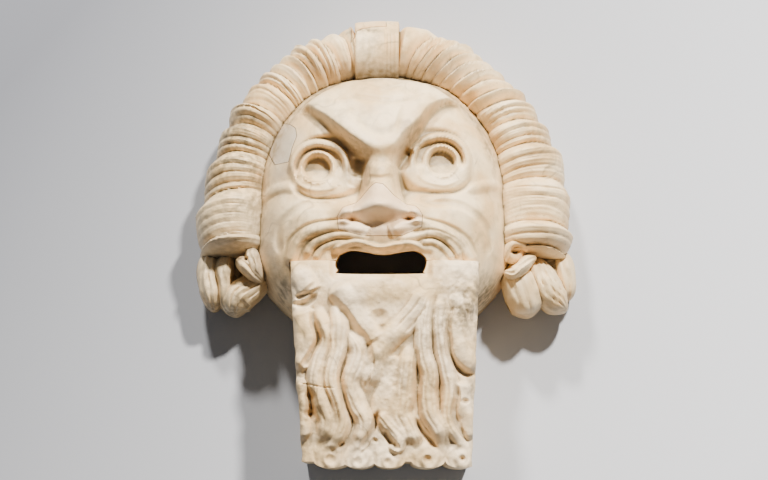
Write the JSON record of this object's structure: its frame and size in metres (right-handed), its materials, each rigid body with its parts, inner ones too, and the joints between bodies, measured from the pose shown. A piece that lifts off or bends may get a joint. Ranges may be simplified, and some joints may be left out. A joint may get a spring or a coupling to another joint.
{
  "type": "theatre mask",
  "caption": "Carved marble theatre mask with an open mouth, a raised brow, a roll of hair and a long square-cut beard, hollowed behind and flat-backed to hang on a wall.",
  "frame": {"origin": "middle of the object's outline on the flat back, at Z = 0", "axes": "+Z out of the face, +Y towards the crown, +X to the right of a viewer who faces the mask; it lies on its flat back"},
  "size_m": [0.5151, 0.602, 0.2409],
  "materials": {
    "marble_body": "weathered warm cream marble, softly worn",
    "marble_beard": "rough weathered marble with ochre in the hollows",
    "marble_nose": "smooth pinkish-white marble repair",
    "marble_patch": "greyish marble inset",
    "marble_cap": "peach-coloured marble repair"
  },
  "bodies": {
    "root": {"mask_body": "marble_body", "beard_block": "marble_beard", "nose": "marble_nose", "temple_patch": "marble_patch", "topknot_cap": "marble_cap"}
  },
  "joints": []
}
